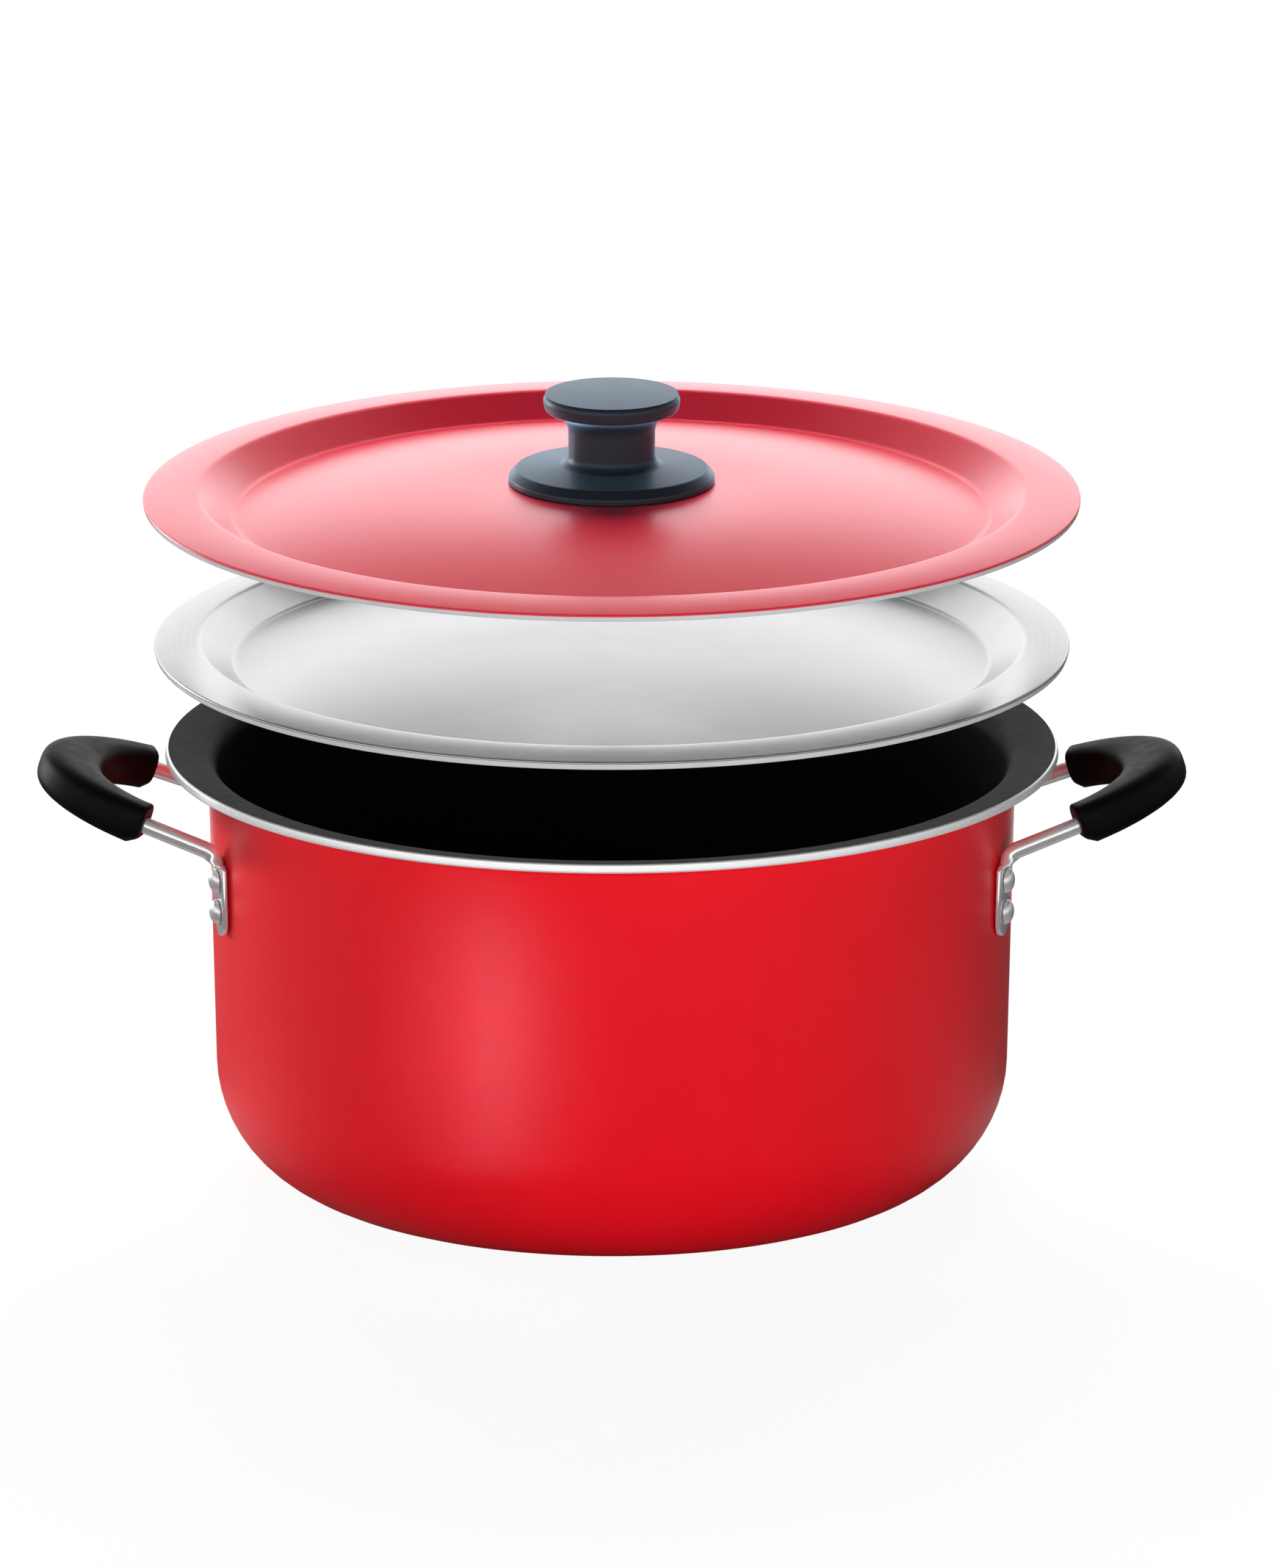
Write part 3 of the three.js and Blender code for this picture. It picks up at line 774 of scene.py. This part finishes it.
# Stage: pale floor, white surroundings, soft lights and the camera

FLOOR_SIZE = 30000
FLOOR_DROP = 0.2
FLOOR_COLOUR = (0.42, 0.42, 0.42, 1)
FLOOR_NEAR = (0.22, 0.22, 0.22, 1)
FLOOR_FAR = (0.04, 0.04, 0.04, 1)
FLOOR_NEAR_R = 230
FLOOR_FAR_R = 330
FLOOR_NEAR_SHAPE = (1, 2.6, 1)
FLOOR_GLOW = 0.82
FLOOR_GLOW_STRENGTH = 1.14
LIGHT_SKY = {"left": 0.38, "right": 0.06, "top": 0.35}
MIRRORED_SKY = {"left": 0.72, "right": 0.40, "top": 0.10, "low": 0.22, "high": 0.62, "front": 2.6}
FRONT_FADE = 0.6

LAMP_DISTANCE = 1500
FRONT_LAMP_Z = 134
BACKDROP_DISTANCE = 2200
BACKDROP_Z = 625
FLOOR_LAMP_BACK = 800
LID_AIM = Vector((0, 0, 250))
BACKDROP_AIM = Vector((0, 0, 252))

IMAGE_HEIGHT = 2135
FOCAL_PIXELS = 22800
SENSOR = 36
CAMERA_DISTANCE = 6000
CAMERA_ELEVATION = 15.5
CAMERA_AIM = Vector((9.2, 0, 145))
CAMERA_REACH = 100


def blended(tree, share, first, second):
    """Two shaders, mixed by the share of the second."""
    node = tree.nodes.new("ShaderNodeMixShader")
    tree.links.new(share, node.inputs["Fac"])
    tree.links.new(first, node.inputs[1])
    tree.links.new(second, node.inputs[2])
    return node.outputs["Shader"]


def product(tree, first, second):
    node = tree.nodes.new("ShaderNodeMath")
    node.operation = "MULTIPLY"
    tree.links.new(first, node.inputs[0])
    tree.links.new(second, node.inputs[1])
    return node.outputs["Value"]


def floor_colour(tree, glossy):
    """The floor's own colour, which glossy rays see as darker, most of all away from the pot."""
    place = tree.nodes.new("ShaderNodeNewGeometry").outputs["Position"]
    away = scaled_length(tree, place, FLOOR_NEAR_SHAPE)
    mirrored_colour = tree.nodes.new("ShaderNodeMixRGB")
    mirrored_colour.inputs["Color1"].default_value = FLOOR_NEAR
    mirrored_colour.inputs["Color2"].default_value = FLOOR_FAR
    far = remap(tree, away, (FLOOR_NEAR_R * MM, FLOOR_FAR_R * MM), (0, 1))
    tree.links.new(far, mirrored_colour.inputs["Fac"])
    colour = tree.nodes.new("ShaderNodeMixRGB")
    colour.inputs["Color1"].default_value = FLOOR_COLOUR
    tree.links.new(mirrored_colour.outputs["Color"], colour.inputs["Color2"])
    tree.links.new(glossy, colour.inputs["Fac"])
    return colour.outputs["Color"]


def floor():
    """A floor that looks white. Its glow is for the camera alone, so no light is sampled from it."""
    half = FLOOR_SIZE / 2
    corners = ((-half, -half), (half, -half), (half, half), (-half, half))
    points = [(x, y, -FLOOR_DROP) for x, y in corners]
    material = bpy.data.materials.new("floor")
    material.cycles.emission_sampling = "NONE"
    material.use_nodes = True
    tree = material.node_tree
    seen = tree.nodes.new("ShaderNodeLightPath")
    shader = tree.nodes["Principled BSDF"]
    shader.inputs["Roughness"].default_value = 1.0
    shader.inputs["Specular IOR Level"].default_value = 0.0
    tree.links.new(floor_colour(tree, seen.outputs["Is Glossy Ray"]), shader.inputs["Base Color"])
    glow = tree.nodes.new("ShaderNodeEmission")
    glow.inputs["Strength"].default_value = FLOOR_GLOW_STRENGTH
    share = remap(tree, seen.outputs["Is Camera Ray"], (0, 1), (0, FLOOR_GLOW))
    surface = blended(tree, share, shader.outputs["BSDF"], glow.outputs["Emission"])
    tree.links.new(surface, tree.nodes["Material Output"].inputs["Surface"])
    new_piece("floor", points, [(0, 1, 2, 3)], [0], [material])


def sky(tree, left, right, top, low=0, high=1, front=1):
    """A white background whose strength changes across, from front to back and upwards.

    Directions are one unit long, and the fade to the top runs between the heights low and high.
    """
    place = tree.nodes.new("ShaderNodeTexCoord")
    direction = tree.nodes.new("ShaderNodeSeparateXYZ")
    tree.links.new(place.outputs["Generated"], direction.inputs["Vector"])
    across = remap(tree, direction.outputs["X"], (-1, 1), (left, right))
    depth = remap(tree, direction.outputs["Y"], (-FRONT_FADE, FRONT_FADE), (front, 1))
    rise = remap(tree, direction.outputs["Z"], (low, high), (1, top))
    background = tree.nodes.new("ShaderNodeBackground")
    background.inputs["Color"].default_value = WHITE
    tree.links.new(product(tree, product(tree, across, depth), rise), background.inputs["Strength"])
    return background.outputs["Background"]


def surroundings():
    """White to the camera, bright to glossy surfaces and dimmer as light."""
    world = bpy.data.worlds.new("studio")
    bpy.context.scene.world = world
    world.use_nodes = True
    tree = world.node_tree
    seen = tree.nodes.new("ShaderNodeLightPath")
    shown = tree.nodes["Background"]
    shown.inputs["Color"].default_value = WHITE
    shown.inputs["Strength"].default_value = 1.0
    unseen = blended(tree, seen.outputs["Is Glossy Ray"], sky(tree, **LIGHT_SKY), sky(tree, **MIRRORED_SKY))
    surface = blended(tree, seen.outputs["Is Camera Ray"], unseen, shown.outputs["Background"])
    tree.links.new(surface, tree.nodes["World Output"].inputs["Surface"])


def around(azimuth, distance, height):
    """A place around the pot; azimuth 0 is at the camera's side and turns towards +X."""
    turn = math.radians(azimuth)
    return Vector((distance * math.sin(turn), -distance * math.cos(turn), height))


def softbox(name, place, aim, width, height, brightness, spread=180, diffuse=True, glossy=True,
            colour=(1, 1, 1)):
    """A soft light by its brightness, which can be kept off matt or glossy surfaces."""
    lamp = bpy.data.lights.new(name, "AREA")
    lamp.shape = "RECTANGLE"
    lamp.size = width * MM
    lamp.size_y = height * MM
    lamp.energy = brightness * math.pi * lamp.size * lamp.size_y
    lamp.spread = math.radians(spread)
    lamp.color = colour
    box = bpy.data.objects.new(name, lamp)
    box.location = place * MM
    box.rotation_euler = (place - aim).to_track_quat("Z", "Y").to_euler()
    box.visible_camera = False
    box.visible_diffuse = diffuse
    box.visible_glossy = glossy
    bpy.context.scene.collection.objects.link(box)


def lights():
    pot_aim = Vector((0, 0, POT_HEIGHT / 2))
    softbox("front_low", around(7, LAMP_DISTANCE, FRONT_LAMP_Z), Vector((0, 0, FRONT_LAMP_Z)),
            width=1700, height=220, brightness=15.6, glossy=False)
    softbox("left", around(-125, LAMP_DISTANCE, 125), pot_aim,
            width=800, height=240, brightness=42, glossy=False)
    softbox("back_top", around(180, LAMP_DISTANCE, LAMP_DISTANCE), LID_AIM,
            width=1600, height=900, brightness=15.5, glossy=False)
    softbox("backdrop", around(180, BACKDROP_DISTANCE, BACKDROP_Z), BACKDROP_AIM,
            width=2400, height=2 * BACKDROP_Z, brightness=1.05, colour=(0.99, 0.99, 1.02))
    softbox("floor_back", Vector((0, FLOOR_LAMP_BACK, 2)), Vector((0, FLOOR_LAMP_BACK, 1000)),
            width=500, height=900, brightness=2.3, diffuse=False)
    softbox("left_edge", around(-130, LAMP_DISTANCE, 300), pot_aim,
            width=500, height=600, brightness=6, diffuse=False)
    softbox("key", around(-31.5, 586, 62), around(-18, 143, 88),
            width=45, height=70, brightness=0.9, spread=11, diffuse=False, colour=(1.0, 0.96, 1.14))


def camera():
    lens = bpy.data.cameras.new("camera")
    lens.sensor_width = SENSOR
    lens.lens = FOCAL_PIXELS / IMAGE_HEIGHT * SENSOR
    lens.clip_end = CAMERA_REACH
    view = bpy.data.objects.new("camera", lens)
    rise = math.radians(CAMERA_ELEVATION)
    back = Vector((0, -math.cos(rise), math.sin(rise)))
    view.location = (CAMERA_AIM + back * CAMERA_DISTANCE) * MM
    view.rotation_euler = back.to_track_quat("Z", "Y").to_euler()
    bpy.context.scene.collection.objects.link(view)
    bpy.context.scene.camera = view
    bpy.context.scene.view_settings.view_transform = "Standard"


pot_shell()
handles()
inner_lid()
outer_lid()
knob()
washer()
screw()
insert()
floor()
surroundings()
lights()
camera()
